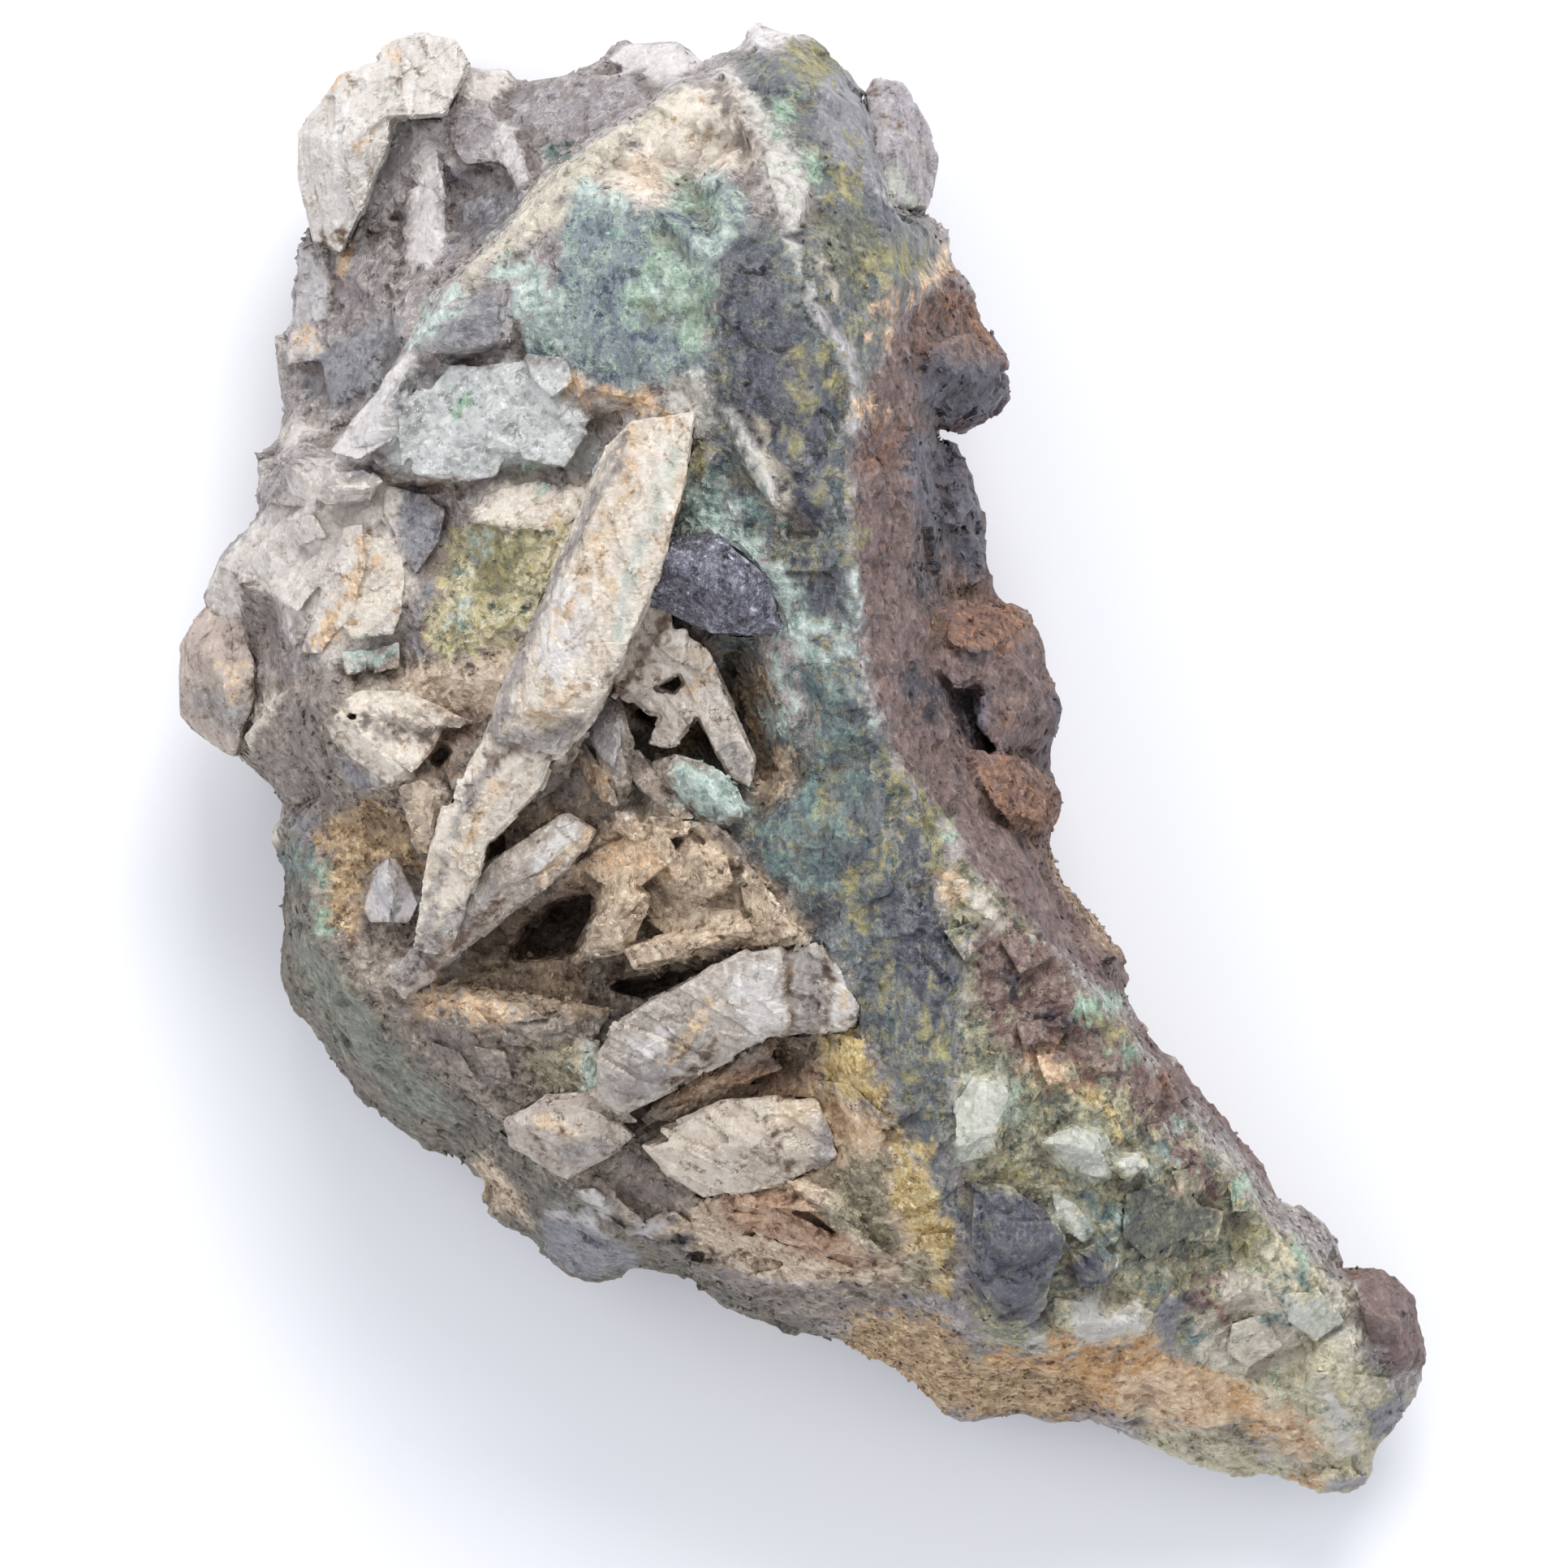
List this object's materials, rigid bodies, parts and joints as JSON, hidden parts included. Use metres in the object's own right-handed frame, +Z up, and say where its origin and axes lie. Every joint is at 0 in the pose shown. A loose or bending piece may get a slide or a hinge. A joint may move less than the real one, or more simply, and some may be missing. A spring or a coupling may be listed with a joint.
{
  "type": "bournonite crystal cluster",
  "caption": "Boot-shaped hand specimen of dark bournonite ore with pale baryte blades and green, yellow and rust-brown crusts, lying on its flattest side.",
  "frame": {"origin": "middle of the specimen's box, at the level of the flat that it rests on", "axes": "+Z up from the surface it rests on, +X to the right and +Y to the back as the picture shows it from above"},
  "size_m": [0.0776, 0.0912, 0.0418],
  "materials": {
    "ore": "broken, earthy stone",
    "baryte": "pale, pearly crystal",
    "bournonite": "dark grey metallic crystal"
  },
  "bodies": {
    "root": {"ore_matrix": "ore", "long_baryte_blade": "baryte", "grey_baryte_blade": "baryte", "split_baryte_slab": "baryte", "front_baryte_wedge": "baryte", "front_baryte_plate": "baryte", "lattice_baryte_blades": "baryte", "back_baryte_blade": "baryte", "corner_baryte_crystal": "baryte", "left_baryte_block": "baryte", "bournonite_lump": "bournonite"}
  },
  "joints": []
}
